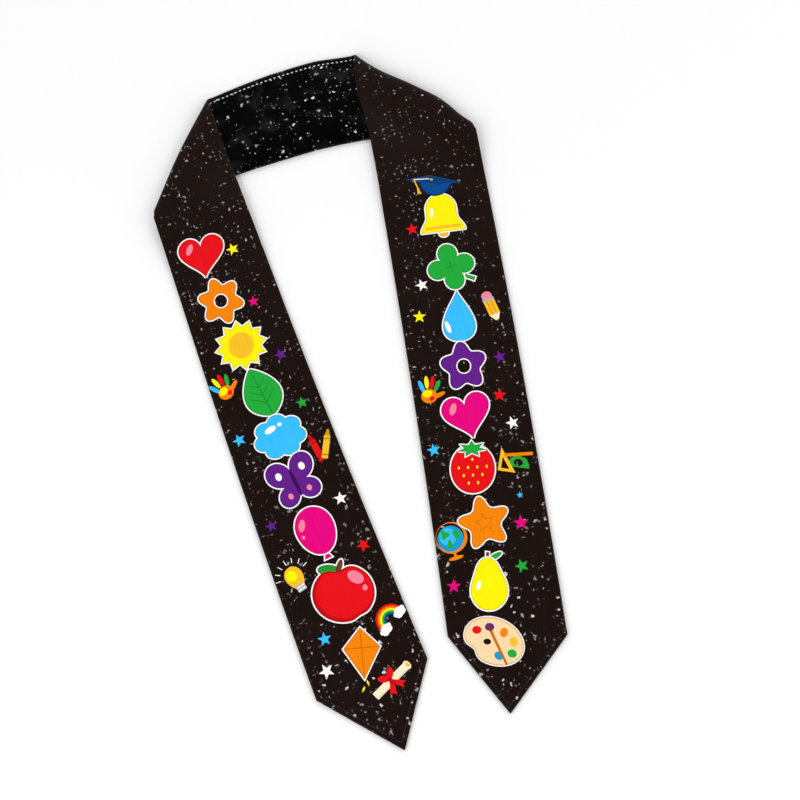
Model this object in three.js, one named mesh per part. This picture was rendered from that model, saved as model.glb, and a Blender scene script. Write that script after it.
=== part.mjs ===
// A child's graduation stole laid flat: a long band of two satin layers with pointed ends. The neck lies
// with its lining up, and a soft fold at each shoulder turns the leg over, so that its printed face looks
// up. Millimetres, +Z up, resting on z = 0. X runs along the neck, and +Y points from the legs to the neck.
import * as THREE from 'three';

// Driving dimensions
const neckLength = 232;
const neckWidth = 92;
const neckArch = 9.4;
const legLength = 527;
const endWidth = 100;
const pointLength = 64;
const faceThickness = 1;
const liningThickness = 1;
const layerGap = 0.3;
const seamMargin = 1.5;
const foldInnerRadius = 1.8;
const foldSettle = 40;
const stepStart = 60;
const stepLength = 90;
const giveOnNeck = 60;
const giveOnLeg = 38;
const tuckReach = 45;

// One row per leg. side: -1 is the leg at -X. turnIn: degrees towards the other leg. bow: outward curve of
// the leg, share of legLength. skew: how far the end's outer corner lies below the inner one, and tipShift:
// how far the tip lies inwards, both shares of endWidth. The others are shares of neckWidth. shoulder: width
// at the fold. tuck: how far the upper edge is drawn in where the fold meets it. waves: where the fold line
// leaves the straight line, as the step inwards over the neck, its place down the fold, and its reach.
const legs = [
  {
    side: -1, turnIn: 4.6, bow: 0.0064, skew: -0.004, tipShift: 0.055,
    shoulder: 0.92, tuck: 0,
    waves: [
      { inwards: -0.03, at: 0.0, reach: 0.74 },
    ],
  },
  {
    side: 1, turnIn: 7.5, bow: 0.006, skew: 0.07, tipShift: 0.084,
    shoulder: 1.08, tuck: 0.055,
    waves: [
      { inwards: 0.085, at: -0.55, reach: 0.64 },
      { inwards: -0.033, at: 0.34, reach: 0.32 },
    ],
  },
];

// Grid steps of the sheet
const neckSteps = 7;
const rollSteps = 10;
const legSteps = 24;
const acrossSteps = 6;

// Heights of the surface midway between the two layers
const foldRadius = foldInnerRadius + liningThickness + layerGap / 2;
const neckHeight = faceThickness + layerGap / 2;
const legHeight = liningThickness + layerGap / 2;
const foldHeight = neckHeight + 2 * foldRadius;
const layOverHeight = neckHeight + 2 * (liningThickness + layerGap);

const halfNeck = neckLength / 2;
const archRadius = halfNeck ** 2 / (2 * neckArch);
const foldCentre = archPoint(halfNeck);
const neckEnd = archDirection(halfNeck);

// Point and direction at a distance along the arched centre line of the neck
function archPoint(along) {
  const angle = along / archRadius;
  return new THREE.Vector2(Math.sin(angle), Math.cos(angle) - 1).multiplyScalar(archRadius);
}

function archDirection(along) {
  const angle = along / archRadius;
  return new THREE.Vector2(Math.cos(angle), -Math.sin(angle));
}

// Directions at a leg's fold: down the leg, along the fold line, and out of the neck across that line. The
// fold line halves the angle between the neck's end and the leg, so that the leg mirrors the neck in it.
function foldDirections(leg) {
  const turn = THREE.MathUtils.degToRad(leg.turnIn);
  const down = new THREE.Vector2(-Math.sin(turn), -Math.cos(turn));
  const line = neckEnd.clone().add(down).normalize();
  const out = new THREE.Vector2(-line.y, line.x);
  return { down, line, out };
}

// Distance past the fold along the centre line, as a share of the leg's length
function legShare(along) {
  return THREE.MathUtils.clamp((along - halfNeck) / legLength, 0, 1);
}

// Width of the sheet: from the neck's middle to the shoulder, and on to the pointed end
function widthAt(leg, along) {
  const toShoulder = THREE.MathUtils.smoothstep(along, 0, halfNeck);
  const shoulderWidth = neckWidth * THREE.MathUtils.lerp(1, leg.shoulder, toShoulder);
  return THREE.MathUtils.lerp(shoulderWidth, endWidth, legShare(along));
}

// A smooth rise to 1 at a place, from 0 at a reach to either side
function swell(place, at, reach) {
  return Math.max(0, 1 - ((place - at) / reach) ** 2) ** 2;
}

// Unfolded place of a point: along the arched centre line, straight on past the fold, and across it
function unfolded(leg, along, across) {
  const onArch = Math.min(along, halfNeck);
  const direction = archDirection(onArch);
  const upward = new THREE.Vector2(-direction.y, direction.x);
  const tuck = leg.tuck * neckWidth * swell(along, halfNeck - neckWidth / 2, tuckReach);
  return archPoint(onArch)
    .addScaledVector(direction, along - onArch)
    .addScaledVector(upward, across * widthAt(leg, along) - Math.max(0, 2 * across) * tuck);
}

// Distance of an unfolded place past the start of the roll. The waves of the fold line start the roll earlier
// or later, and die out on the neck and on the leg.
function pastFold(leg, place) {
  const { line, out } = foldDirections(leg);
  const fromCentre = place.clone().sub(foldCentre);
  const distance = fromCentre.dot(out);
  const downLine = fromCentre.dot(line) / neckWidth;
  const steps = leg.waves.map((wave) => wave.inwards * swell(downLine, wave.at, wave.reach));
  const give = neckWidth * steps.reduce((sum, step) => sum + step, 0);
  const diesOut = Math.exp(-Math.abs(distance) / (distance > 0 ? giveOnLeg : giveOnNeck));
  return distance + (Math.PI / 2) * foldRadius + give * diesOut;
}

// Height of the turned-over leg: off the roll it settles on the neck, then steps down to the floor
function turnedHeight(pastRoll, downLeg) {
  const settle = THREE.MathUtils.smoothstep(pastRoll, 0, foldSettle);
  const step = THREE.MathUtils.smoothstep(downLeg, stepStart, stepStart + stepLength);
  return THREE.MathUtils.lerp(THREE.MathUtils.lerp(foldHeight, layOverHeight, settle), legHeight, step);
}

// Folded place of a point of the surface midway between the layers. along: from the neck's middle down the
// centre line. across: share of the width, -0.5 at the lower, outer edge to 0.5 at the upper, inner edge.
function folded(leg, along, across) {
  const { down, out } = foldDirections(leg);
  const place = unfolded(leg, along, across);
  const past = pastFold(leg, place);
  const rollLength = Math.PI * foldRadius;
  let height = neckHeight;
  if (past > 0) {
    const turn = Math.min(past / foldRadius, Math.PI);
    const pastRoll = Math.max(past - rollLength, 0);
    place.addScaledVector(out, foldRadius * Math.sin(turn) - past - pastRoll);
    height += foldRadius * (1 - Math.cos(turn));
    if (pastRoll > 0) {
      const share = legShare(along);
      const outward = new THREE.Vector2(-down.y, down.x);
      place.addScaledVector(outward, leg.bow * legLength * 4 * share * (1 - share));
      height = turnedHeight(pastRoll, place.clone().sub(foldCentre).dot(down));
    }
  }
  return new THREE.Vector3(leg.side * place.x, place.y, height);
}

// Direction out of the printed face, from small steps along and across the sheet
function faceNormal(leg, along, across) {
  const small = 0.01;
  const lengthwise = folded(leg, along + small, across).sub(folded(leg, along - small, across));
  const crosswise = folded(leg, along, across + small).sub(folded(leg, along, across - small));
  return crosswise.cross(lengthwise).multiplyScalar(leg.side).normalize();
}

// Distance along at which a line down the sheet lies a given distance past the fold, by halving the interval
function alongAtFold(leg, across, past) {
  let low = 0;
  let high = neckLength;
  while (high - low > 1e-6) {
    const middle = (low + high) / 2;
    if (pastFold(leg, unfolded(leg, middle, across)) < past) low = middle;
    else high = middle;
  }
  return low;
}

// Distance along at the outline of the pointed end: two straight cuts from the corners to the tip
function alongAtEnd(leg, across) {
  const corner = -Math.sign(across - leg.tipShift) * leg.skew * endWidth;
  const cut = (across - leg.tipShift) / (Math.sign(across - leg.tipShift) / 2 - leg.tipShift);
  return halfNeck + legLength + THREE.MathUtils.lerp(pointLength, corner, cut || 0);
}

// Across shares of one row. The middle column moves to the tip's place, and a margin draws both edges in.
function columns(leg, share, margin) {
  const middle = leg.tipShift * share;
  const shares = [];
  for (let column = 0; column <= acrossSteps; column += 1) {
    const place = (2 * column) / acrossSteps - 1;
    const edge = Math.sign(place) * (0.5 - margin / endWidth);
    shares.push(THREE.MathUtils.lerp(middle, edge, Math.abs(place)));
  }
  return shares;
}

// Rows of one half of the sheet, from the neck's middle to the tip, each a list of points with their normals.
// Rows lie along the fold line at the roll, and turn gradually to the neck's middle and to the pointed end.
function halfRows(leg, margin) {
  const rows = [];
  const rollLength = Math.PI * foldRadius;
  const addRow = (share, alongAt) => {
    rows.push(columns(leg, share, margin).map((across) => {
      const along = alongAt(across);
      return { point: folded(leg, along, across), normal: faceNormal(leg, along, across) };
    }));
  };
  for (let step = 0; step < neckSteps; step += 1) {
    addRow(0, (across) => (step / neckSteps) * alongAtFold(leg, across, 0));
  }
  for (let step = 0; step <= rollSteps; step += 1) {
    addRow(0, (across) => alongAtFold(leg, across, (step / rollSteps) * rollLength));
  }
  for (let step = 1; step <= legSteps; step += 1) {
    const share = step / legSteps;
    addRow(share, (across) => THREE.MathUtils.lerp(
      alongAtFold(leg, across, rollLength),
      alongAtEnd(leg, across) - 2 * margin,
      share,
    ));
  }
  return rows;
}

// Closed wall between two distances from the middle surface, over a grid of rows
function wallGeometry(rows, inner, outer) {
  const rowLength = rows[0].length;
  const layerSize = rows.length * rowLength;
  const positions = [];
  for (const offset of [inner, outer]) {
    for (const { point, normal } of rows.flat()) {
      positions.push(...point.clone().addScaledVector(normal, offset).toArray());
    }
  }
  const indices = [];
  const addQuad = (a, b, c, d) => indices.push(a, b, c, a, c, d);
  for (let row = 0; row + 1 < rows.length; row += 1) {
    for (let column = 0; column + 1 < rowLength; column += 1) {
      const a = row * rowLength + column;
      addQuad(a, a + rowLength, a + rowLength + 1, a + 1);
      addQuad(layerSize + a, layerSize + a + 1, layerSize + a + rowLength + 1, layerSize + a + rowLength);
    }
  }
  const border = borderLoop(rows.length, rowLength);
  border.forEach((from, place) => {
    const to = border[(place + 1) % border.length];
    addQuad(to, from, layerSize + from, layerSize + to);
  });
  const geometry = new THREE.BufferGeometry();
  geometry.setAttribute('position', new THREE.Float32BufferAttribute(positions, 3));
  geometry.setIndex(indices);
  geometry.computeVertexNormals();
  return geometry;
}

// Indices round the border of a grid, in the order of its first layer's faces
function borderLoop(rowCount, rowLength) {
  const loop = [];
  for (let row = 0; row < rowCount - 1; row += 1) loop.push(row * rowLength);
  for (let column = 0; column < rowLength - 1; column += 1) loop.push((rowCount - 1) * rowLength + column);
  for (let row = rowCount - 1; row > 0; row -= 1) loop.push(row * rowLength + rowLength - 1);
  for (let column = rowLength - 1; column > 0; column -= 1) loop.push(column);
  return loop;
}

function panel(name, margin, inner, outer, material) {
  const [left, right] = legs.map((leg) => halfRows(leg, margin));
  const rows = [...left.reverse(), ...right.slice(1)];
  const mesh = new THREE.Mesh(wallGeometry(rows, inner, outer), material);
  mesh.name = name;
  return mesh;
}

const faceSatin = new THREE.MeshStandardMaterial({ color: 0x231815, roughness: 0.5, metalness: 0 });
const liningSatin = new THREE.MeshStandardMaterial({ color: 0x070605, roughness: 0.4, metalness: 0 });

const stole = new THREE.Group();
stole.add(panel('stole_face', 0, layerGap / 2, layerGap / 2 + faceThickness, faceSatin));
stole.add(panel('stole_lining', seamMargin, -layerGap / 2 - liningThickness, -layerGap / 2, liningSatin));

// The origin is the middle of the floor under the whole stole
const middle = new THREE.Box3().setFromObject(stole).getCenter(new THREE.Vector3());
stole.position.set(-middle.x, -middle.y, 0);

export default stole;
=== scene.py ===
import math

import bpy
import numpy as np
from mathutils import Matrix, Vector
from mathutils.geometry import delaunay_2d_cdt


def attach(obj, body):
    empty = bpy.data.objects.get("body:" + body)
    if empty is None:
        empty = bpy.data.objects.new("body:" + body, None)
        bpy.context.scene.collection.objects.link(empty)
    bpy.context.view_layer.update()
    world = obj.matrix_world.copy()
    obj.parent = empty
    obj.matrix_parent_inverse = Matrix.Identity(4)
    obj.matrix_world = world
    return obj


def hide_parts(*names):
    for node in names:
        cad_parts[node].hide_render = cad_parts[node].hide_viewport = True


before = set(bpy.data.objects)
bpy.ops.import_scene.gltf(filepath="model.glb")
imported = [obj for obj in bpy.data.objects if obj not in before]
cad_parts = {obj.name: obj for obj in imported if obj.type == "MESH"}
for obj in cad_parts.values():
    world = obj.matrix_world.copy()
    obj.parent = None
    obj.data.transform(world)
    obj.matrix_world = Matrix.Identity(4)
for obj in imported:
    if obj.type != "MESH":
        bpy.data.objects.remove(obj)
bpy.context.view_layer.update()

MM = 0.001

# The camera looks down on the laid stole from the side of its pointed ends, as from a low ladder. It is rolled
# so that the neck rises to the right, and its long lens keeps both legs near the same scale from end to end.
CAMERA_ELEVATION = math.radians(73.27)
CAMERA_ROLL = math.radians(-16.68)
CAMERA_DISTANCE = 1.2
CAMERA_TARGET = Vector((0.01534, -0.02969, 0.0))
camera_data = bpy.data.cameras.new("camera")
camera_data.lens = 60.5
camera_data.clip_start = 0.05
camera = bpy.data.objects.new("camera", camera_data)
bpy.context.scene.collection.objects.link(camera)
bpy.context.scene.camera = camera
back = Vector((0.0, -math.cos(CAMERA_ELEVATION), math.sin(CAMERA_ELEVATION)))
level = Vector((1.0, 0.0, 0.0))
upright = back.cross(level)
right = level * math.cos(CAMERA_ROLL) + upright * math.sin(CAMERA_ROLL)
camera_axes = Matrix((right, back.cross(right), back)).transposed()
camera.matrix_world = Matrix.Translation(CAMERA_TARGET + back * CAMERA_DISTANCE) @ camera_axes.to_4x4()
bpy.context.scene.view_settings.view_transform = "Standard"


# The stage is a wide pale matt floor, a hair under the cloth. Far from the lamps it would fall off to grey, so it
# gives a little light of its own there.
def add_node(tree, kind, options=None, inputs=None):
    """Adds a shader node, sets its options, and fills its inputs, by name or number, with values or outputs."""
    node = tree.nodes.new(kind)
    for option, value in (options or {}).items():
        setattr(node, option, value)
    for key, value in (inputs or {}).items():
        if isinstance(value, bpy.types.NodeSocket):
            tree.links.new(value, node.inputs[key])
        else:
            node.inputs[key].default_value = value
    return node


def calculate_vector(tree, operation, *values):
    """A Vector Math node's result: a number for a length, and otherwise a vector."""
    inputs = dict(zip((0, "Scale" if operation == "SCALE" else 1), values))
    node = add_node(tree, "ShaderNodeVectorMath", {"operation": operation}, inputs)
    return node.outputs["Value" if operation == "LENGTH" else 0]


def ranged(tree, value, low, high, at_low=0.0, at_high=1.0, curve="LINEAR"):
    """One result up to low, another from high on, and a straight line or an s-curve between the two."""
    inputs = dict(enumerate((value, low, high, at_low, at_high)))
    return add_node(tree, "ShaderNodeMapRange", {"interpolation_type": curve}, inputs).outputs[0]


FLOOR_SIZE = 12.0
FLOOR_DROP = 0.0002
GLOW_START, GLOW_FULL, GLOW_STRENGTH = 1.3, 3.4, 0.6
floor_mesh = bpy.data.meshes.new("floor")
floor_corners = np.array([(-1, -1), (1, -1), (1, 1), (-1, 1)]) * FLOOR_SIZE / 2
floor_mesh.from_pydata([(x, y, -FLOOR_DROP) for x, y in floor_corners], [], [(0, 1, 2, 3)])
floor = bpy.data.objects.new("floor", floor_mesh)
bpy.context.scene.collection.objects.link(floor)
floor_finish = bpy.data.materials.new("pale_floor")
floor_finish.use_nodes = True
floor_tree = floor_finish.node_tree
floor_shader = floor_tree.nodes["Principled BSDF"]
floor_shader.inputs["Base Color"].default_value = (0.96, 0.96, 0.96, 1)
floor_shader.inputs["Roughness"].default_value = 0.9
floor_shader.inputs["Specular IOR Level"].default_value = 0.1
floor_shader.inputs["Emission Color"].default_value = (1, 1, 1, 1)
from_middle = calculate_vector(floor_tree, "LENGTH", add_node(floor_tree, "ShaderNodeTexCoord").outputs["Object"])
glow = ranged(floor_tree, from_middle, GLOW_START, GLOW_FULL, 0.0, GLOW_STRENGTH, "SMOOTHSTEP")
floor_tree.links.new(glow, floor_shader.inputs["Emission Strength"])
floor_mesh.materials.append(floor_finish)


# The studio has broad soft lamps standing low round the stole. The room is bright round the horizon and dim
# overhead, where the cloth would mirror it into the lens.
def add_lamp(name, azimuth, elevation, distance, size, watts):
    """A square area lamp aimed at the stole's middle, from a compass direction and a height above the horizon."""
    lamp = bpy.data.lights.new(name, "AREA")
    lamp.shape = "SQUARE"
    lamp.size = size
    lamp.energy = watts
    place = bpy.data.objects.new(name, lamp)
    bpy.context.scene.collection.objects.link(place)
    turn, rise = math.radians(azimuth), math.radians(elevation)
    aim = Vector((math.sin(turn) * math.cos(rise), -math.cos(turn) * math.cos(rise), math.sin(rise)))
    place.location = aim * distance
    place.rotation_euler = aim.to_track_quat("Z", "Y").to_euler()


DIM_START, DIM_FULL = 0.3, 0.88
HORIZON_LIGHT, OVERHEAD_LIGHT = 1.05, 0.06
world = bpy.data.worlds.new("studio")
world.use_nodes = True
sky = world.node_tree
direction = add_node(sky, "ShaderNodeTexCoord").outputs["Generated"]
height = add_node(sky, "ShaderNodeSeparateXYZ", None, {0: direction}).outputs[2]
light = ranged(sky, height, DIM_START, DIM_FULL, HORIZON_LIGHT, OVERHEAD_LIGHT, "SMOOTHSTEP")
sky.nodes["Background"].inputs["Color"].default_value = (1, 1, 1, 1)
sky.links.new(light, sky.nodes["Background"].inputs["Strength"])
bpy.context.scene.world = world
add_lamp("lamp_left", azimuth=-65, elevation=38, distance=1.9, size=1.3, watts=17.5)
add_lamp("lamp_right", azimuth=75, elevation=34, distance=2.0, size=1.3, watts=12)
add_lamp("lamp_neck", azimuth=170, elevation=30, distance=2.0, size=1.6, watts=13.5)
add_lamp("lamp_tips", azimuth=10, elevation=26, distance=2.2, size=1.6, watts=10.5)

# The stole is one long band, sewn from a printed satin face and a plain satin lining and turned right side out.
# It lies with the neck's lining up, and rolls over softly at each shoulder, so that the legs show their face.
# This section lays out the flat pattern. Along runs from the neck's middle to a tip, and across over the band.
NECK_LENGTH, NECK_WIDTH, NECK_ARCH = 232.0, 92.0, 9.4
LEG_LENGTH, END_WIDTH, POINT_LENGTH = 527.0, 100.0, 64.0
HALF_NECK = NECK_LENGTH / 2
OUTER_HEIGHT = 1.15
FOLD_RADIUS = 2.95
FOLD_SETTLE, STEP_START, STEP_LENGTH = 40.0, 60.0, 90.0
GIVE_ON_NECK, GIVE_ON_LEG, TUCK_REACH = 60.0, 38.0, 45.0
FOLD_HEIGHT = OUTER_HEIGHT + 2 * FOLD_RADIUS
LAY_OVER_HEIGHT = 3.75
SLOW_BILLOW, QUICK_BILLOW = 0.5, 0.16
ARCH_RADIUS = HALF_NECK**2 / (2 * NECK_ARCH)
FRAME_SHIFT = np.array([-1.64534, 276.01595, 0.0])
LEGS = {
    -1: {
        "turn_in": 4.6, "bow": 0.0064, "skew": -0.004, "tip_shift": 0.055, "shoulder": 0.92, "tuck": 0.0,
        "waves": ((-0.03, 0.0, 0.74),),
    },
    1: {
        "turn_in": 7.5, "bow": 0.006, "skew": 0.07, "tip_shift": 0.084, "shoulder": 1.08, "tuck": 0.055,
        "waves": ((0.085, -0.55, 0.64), (-0.033, 0.34, 0.32)),
    },
}


def smooth(value, low, high):
    """0 below low, 1 above high, and between them the s-curve of 3 times the share squared less 2 times its cube."""
    share = np.clip((value - low) / (high - low), 0, 1)
    return share * share * (3 - 2 * share)


def arch_angle(along):
    """The neck is an arc of a large circle, and the leg's pattern runs on straight from the arc's end."""
    return np.minimum(along, HALF_NECK) / ARCH_RADIUS


END_ANGLE = HALF_NECK / ARCH_RADIUS
FOLD_CENTRE = ARCH_RADIUS * np.array([math.sin(END_ANGLE), math.cos(END_ANGLE) - 1])
NECK_END = np.array([math.cos(END_ANGLE), -math.sin(END_ANGLE)])


def fold_directions(leg):
    """Down the turned leg, along the fold line, which halves the angle of neck and leg, and out over that line."""
    turn = math.radians(leg["turn_in"])
    down = np.array([-math.sin(turn), -math.cos(turn)])
    line = (NECK_END + down) / np.linalg.norm(NECK_END + down)
    return down, line, np.array([-line[1], line[0]])


def width_at(leg, along):
    """The band's width: the neck's, eased to the shoulder's, then widening evenly to the pointed end."""
    shoulder = 1 + (leg["shoulder"] - 1) * smooth(along, 0, HALF_NECK)
    share = np.clip((along - HALF_NECK) / LEG_LENGTH, 0, 1)
    return NECK_WIDTH * shoulder * (1 - share) + END_WIDTH * share


def swell(place, at, reach):
    """A smooth rise to 1 at a place, from 0 at a reach to either side: 1 less the distance squared, squared."""
    return np.maximum(0, 1 - ((place - at) / reach) ** 2) ** 2


def unfolded(leg, along, across):
    """The place on the open band: out along the arc, then straight on, and across at right angles to that. The
    upper edge is drawn in a little where the fold meets it."""
    angle = arch_angle(along)
    beyond = np.maximum(along - HALF_NECK, 0)
    tuck = leg["tuck"] * NECK_WIDTH * swell(along, HALF_NECK - NECK_WIDTH / 2, TUCK_REACH)
    across = across - np.maximum(0, 2 * across / width_at(leg, along)) * tuck
    x = ARCH_RADIUS * np.sin(angle) + beyond * np.cos(angle) + across * np.sin(angle)
    y = ARCH_RADIUS * (np.cos(angle) - 1) - beyond * np.sin(angle) + across * np.cos(angle)
    return np.stack([x, y], -1)


def past_fold(leg, place):
    """How far a place lies past the start of the roll: its distance over the fold line, and half the roll's
    length. The waves of the fold line start the roll earlier or later, and die out on the neck and on the leg."""
    down, line, out = fold_directions(leg)
    offset = place - FOLD_CENTRE
    distance, down_line = offset @ out, offset @ line / NECK_WIDTH
    give = NECK_WIDTH * sum(inwards * swell(down_line, at, reach) for inwards, at, reach in leg["waves"])
    dies_out = np.exp(-np.abs(distance) / np.where(distance > 0, GIVE_ON_LEG, GIVE_ON_NECK))
    return distance + math.pi / 2 * FOLD_RADIUS + give * dies_out


def slack(along, across, side):
    """Shallow billows across the band at a slant: a slow and a quick one, each the product of two sine waves."""
    slow = np.sin(along / 31 + across / 38 + side) * np.sin(along / 53 - across / 47 + 2 * side)
    quick = np.sin(along / 11.5 - across / 19 + 3 * side) * np.sin(along / 43 + across / 26)
    return SLOW_BILLOW * (slow + 1) / 2 + QUICK_BILLOW * (quick + 1) / 2


def laid_middle(u, v):
    """The middle surface of the laid band. u is along, negative on the left leg, and v is across, in millimetres.
    Past the fold line the band follows half a cylinder, then runs back over itself and settles on to the floor.
    Its billows die out towards the rolls."""
    u, v = np.asarray(u, float), np.asarray(v, float)
    place = np.zeros(u.shape + (3,))
    for side, leg in LEGS.items():
        here = (u < 0) == (side < 0)
        along, across = np.abs(u[here]), v[here]
        down, line, out = fold_directions(leg)
        flat = unfolded(leg, along, across)
        past = past_fold(leg, flat)
        turn = np.clip(past / FOLD_RADIUS, 0, math.pi)
        past_roll = np.maximum(past - math.pi * FOLD_RADIUS, 0)
        back_by = np.where(past > 0, FOLD_RADIUS * np.sin(turn) - past - past_roll, 0)
        flat = flat + back_by[:, None] * out
        height = OUTER_HEIGHT + FOLD_RADIUS * (1 - np.cos(turn))
        share = np.clip((along - HALF_NECK) / LEG_LENGTH, 0, 1)
        bow = np.where(past_roll > 0, leg["bow"] * LEG_LENGTH * 4 * share * (1 - share), 0)
        flat = flat + bow[:, None] * np.array([-down[1], down[0]])
        down_leg = (flat - FOLD_CENTRE) @ down
        settled = FOLD_HEIGHT + (LAY_OVER_HEIGHT - FOLD_HEIGHT) * smooth(past_roll, 0, FOLD_SETTLE)
        stepped = settled + (OUTER_HEIGHT - settled) * smooth(down_leg, STEP_START, STEP_START + STEP_LENGTH)
        height = np.where(past_roll > 0, stepped, height)
        calm = smooth(-past, 4, 40) + smooth(past_roll, 25, 70)
        height = height + slack(along, across, side) * calm
        place[here] = np.stack([side * flat[:, 0], flat[:, 1], height], -1)
    return place + FRAME_SHIFT


def laid(u, v, outward=0.0):
    """The laid band's middle surface moved outward along its normal, in metres. The normal is the cross product
    of a small step along and a small step across."""
    step = 0.05
    lengthwise = laid_middle(u + step, v) - laid_middle(u - step, v)
    crosswise = laid_middle(u, v + step) - laid_middle(u, v - step)
    normal = np.cross(crosswise, lengthwise)
    normal /= np.linalg.norm(normal, axis=-1, keepdims=True)
    return (laid_middle(u, v) + np.asarray(outward)[..., None] * normal) * MM


def along_at_end(leg, across):
    """Where the pointed end is cut, for a share of the width from -0.5 to 0.5. The cut falls straight from the
    tip to each side, and the skew moves its two corners opposite ways."""
    reach = across - leg["tip_shift"]
    corner = -np.sign(reach) * leg["skew"] * END_WIDTH
    cut = reach / (np.sign(reach) / 2 - leg["tip_shift"] + 1e-12)
    return HALF_NECK + LEG_LENGTH + POINT_LENGTH * (1 - cut) + corner * cut


EDGE_STEPS, CUT_STEPS = 230, 22


def band_outline():
    """The flat band's outline, anticlockwise: lower edge to the right, right point, upper edge, left point."""
    points = []
    for side in (1, -1):
        leg = LEGS[side]
        first, second = -0.5 * side, 0.5 * side
        edges = []
        for share in (first, second):
            along = np.linspace(0, float(along_at_end(leg, np.array(share))), EDGE_STEPS + 1)
            edges.append(np.stack([side * along, share * width_at(leg, along)], -1))
        points.append(edges[0][:-1])
        for start, end in ((first, leg["tip_shift"]), (leg["tip_shift"], second)):
            across = np.linspace(start, end, CUT_STEPS + 1)[:-1]
            beside_tip = np.where(across == leg["tip_shift"], across + 1e-9, across)
            points.append(np.stack([side * along_at_end(leg, beside_tip), across * END_WIDTH], -1))
        points.append(edges[1][:0:-1])
    return np.concatenate(points)


CORNER_TURN = 0.3


def inset(outline, distance):
    """The outline moved inwards at right angles. At a corner it also moves along, by the tangent of half the
    turn, and the points of each run between two corners close up evenly."""
    edges = np.roll(outline, -1, 0) - outline
    edges /= np.linalg.norm(edges, axis=1, keepdims=True)
    before = np.roll(edges, 1, 0)
    turn = np.arctan2(before[:, 0] * edges[:, 1] - before[:, 1] * edges[:, 0], (before * edges).sum(1))
    corners = np.flatnonzero(turn > CORNER_TURN)
    index = np.arange(len(outline))
    run = np.searchsorted(corners, index, side="right") - 1
    start, end = corners[run], np.roll(corners, -1)[run]
    share = (index - start) % len(outline) / ((end - start) % len(outline))
    drawn_in = np.tan(turn / 2)
    along = drawn_in[start] * (1 - share) - drawn_in[end] * share
    inward = np.stack([-edges[:, 1], edges[:, 0]], -1)
    return outline + distance * (inward + edges * along[:, None])


OUTLINE = band_outline()


def inside(points, ring):
    """Which points lie inside a closed outline: those whose line to one side crosses it an odd number of times."""
    odd = np.zeros(len(points), bool)
    for (x0, y0), (x1, y1) in zip(ring, np.roll(ring, -1, 0)):
        if y0 != y1:
            crossing = x0 + (points[:, 1] - y0) / (y1 - y0) * (x1 - x0)
            level_with = (points[:, 1] >= min(y0, y1)) & (points[:, 1] < max(y0, y1))
            odd ^= level_with & (points[:, 0] < crossing)
    return odd


GRID_STEP, GRID_MARGIN = 3.6, 20
ROLL_LINES, ROLL_STEP = 16, 1.3
ROLL_FROM, ROLL_TO, ROLL_GAP = -1, 10.4, 0.6
RIM_GAP = 1.2
HALVINGS = 30


def grid_points(rim):
    """Points all over the band: an even grid, and rows along each fold line where the cloth rolls over. A row's
    place is found by halving the reach along the band until it lies the wanted distance past the fold."""
    half_band = HALF_NECK + LEG_LENGTH + POINT_LENGTH + GRID_MARGIN
    rows_up = math.ceil(END_WIDTH / 2 / GRID_STEP)
    u, v = np.arange(-half_band, half_band, GRID_STEP), np.arange(-rows_up, rows_up + 1) * GRID_STEP
    points = np.stack(np.meshgrid(u, v, indexing="ij"), -1).reshape(-1, 2)
    rows = []
    for side, leg in LEGS.items():
        here = (points[:, 0] < 0) == (side < 0)
        past = past_fold(leg, unfolded(leg, np.abs(points[:, 0]), points[:, 1]))
        points = points[~(here & (past > ROLL_FROM - ROLL_GAP) & (past < ROLL_TO + ROLL_GAP))]
        near_edge = int(END_WIDTH / 2 / ROLL_STEP)
        roll_v = np.arange(-near_edge, near_edge + 1) * ROLL_STEP
        wanted, across = np.meshgrid(np.linspace(ROLL_FROM, ROLL_TO, ROLL_LINES), roll_v, indexing="ij")
        low, high = np.zeros(wanted.shape), np.full(wanted.shape, NECK_LENGTH)
        for _ in range(HALVINGS):
            middle = (low + high) / 2
            short = past_fold(leg, unfolded(leg, middle, across)) < wanted
            low, high = np.where(short, middle, low), np.where(short, high, middle)
        rows.append(np.stack([side * low, across], -1).reshape(-1, 2))
    points = np.concatenate([points, *rows])
    return points[inside(points, inset(rim, RIM_GAP))]


def band_mesh(edge_profile, prints):
    """Flat pattern, outward places, faces and the topmost print on each face, for one layer of the band.
    The inside is triangulated round the printed outlines. From its rim, rings carry the edge profile outwards:
    rows of (distance inside the band's edge, place outward from its middle), and then round under the edge."""
    rim = inset(OUTLINE, edge_profile[0][0])
    given = [rim, *prints, grid_points(rim)]
    starts = np.cumsum([0] + [len(ring) for ring in given])
    lines = []
    for start, outline in zip(starts[1:], prints):
        lines += [(start + i, start + (i + 1) % len(outline)) for i in range(len(outline))]
    corners = [Vector(point) for point in np.concatenate(given)]
    found = delaunay_2d_cdt(corners, lines, [list(range(len(rim)))], 1, 1e-6)
    pattern = np.array([tuple(point) for point in found[0]])
    faces = [tuple(face) for face in found[2]]
    middles = pattern[np.array(faces)].mean(1)
    top_print = np.zeros(len(faces), int)
    for layer, outline in enumerate(prints):
        near = np.flatnonzero(((middles > outline.min(0)) & (middles < outline.max(0))).all(1))
        top_print[near[inside(middles[near], outline)]] = layer + 1
    top_print = top_print.tolist()
    place_of = {origin: i for i, origins in enumerate(found[3]) for origin in origins}
    ring = [place_of[i] for i in range(len(rim))]
    outward = np.full(len(pattern), edge_profile[0][1])
    for distance, height in edge_profile[1:]:
        count = len(ring)
        new_ring = list(range(len(pattern), len(pattern) + count))
        for i in range(count):
            after = (i + 1) % count
            faces.append((ring[i], new_ring[i], new_ring[after], ring[after]))
        top_print += [0] * count
        pattern = np.concatenate([pattern, inset(OUTLINE, distance)])
        outward = np.concatenate([outward, np.full(count, height)])
        ring = new_ring
    return pattern, outward, faces, top_print


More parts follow.
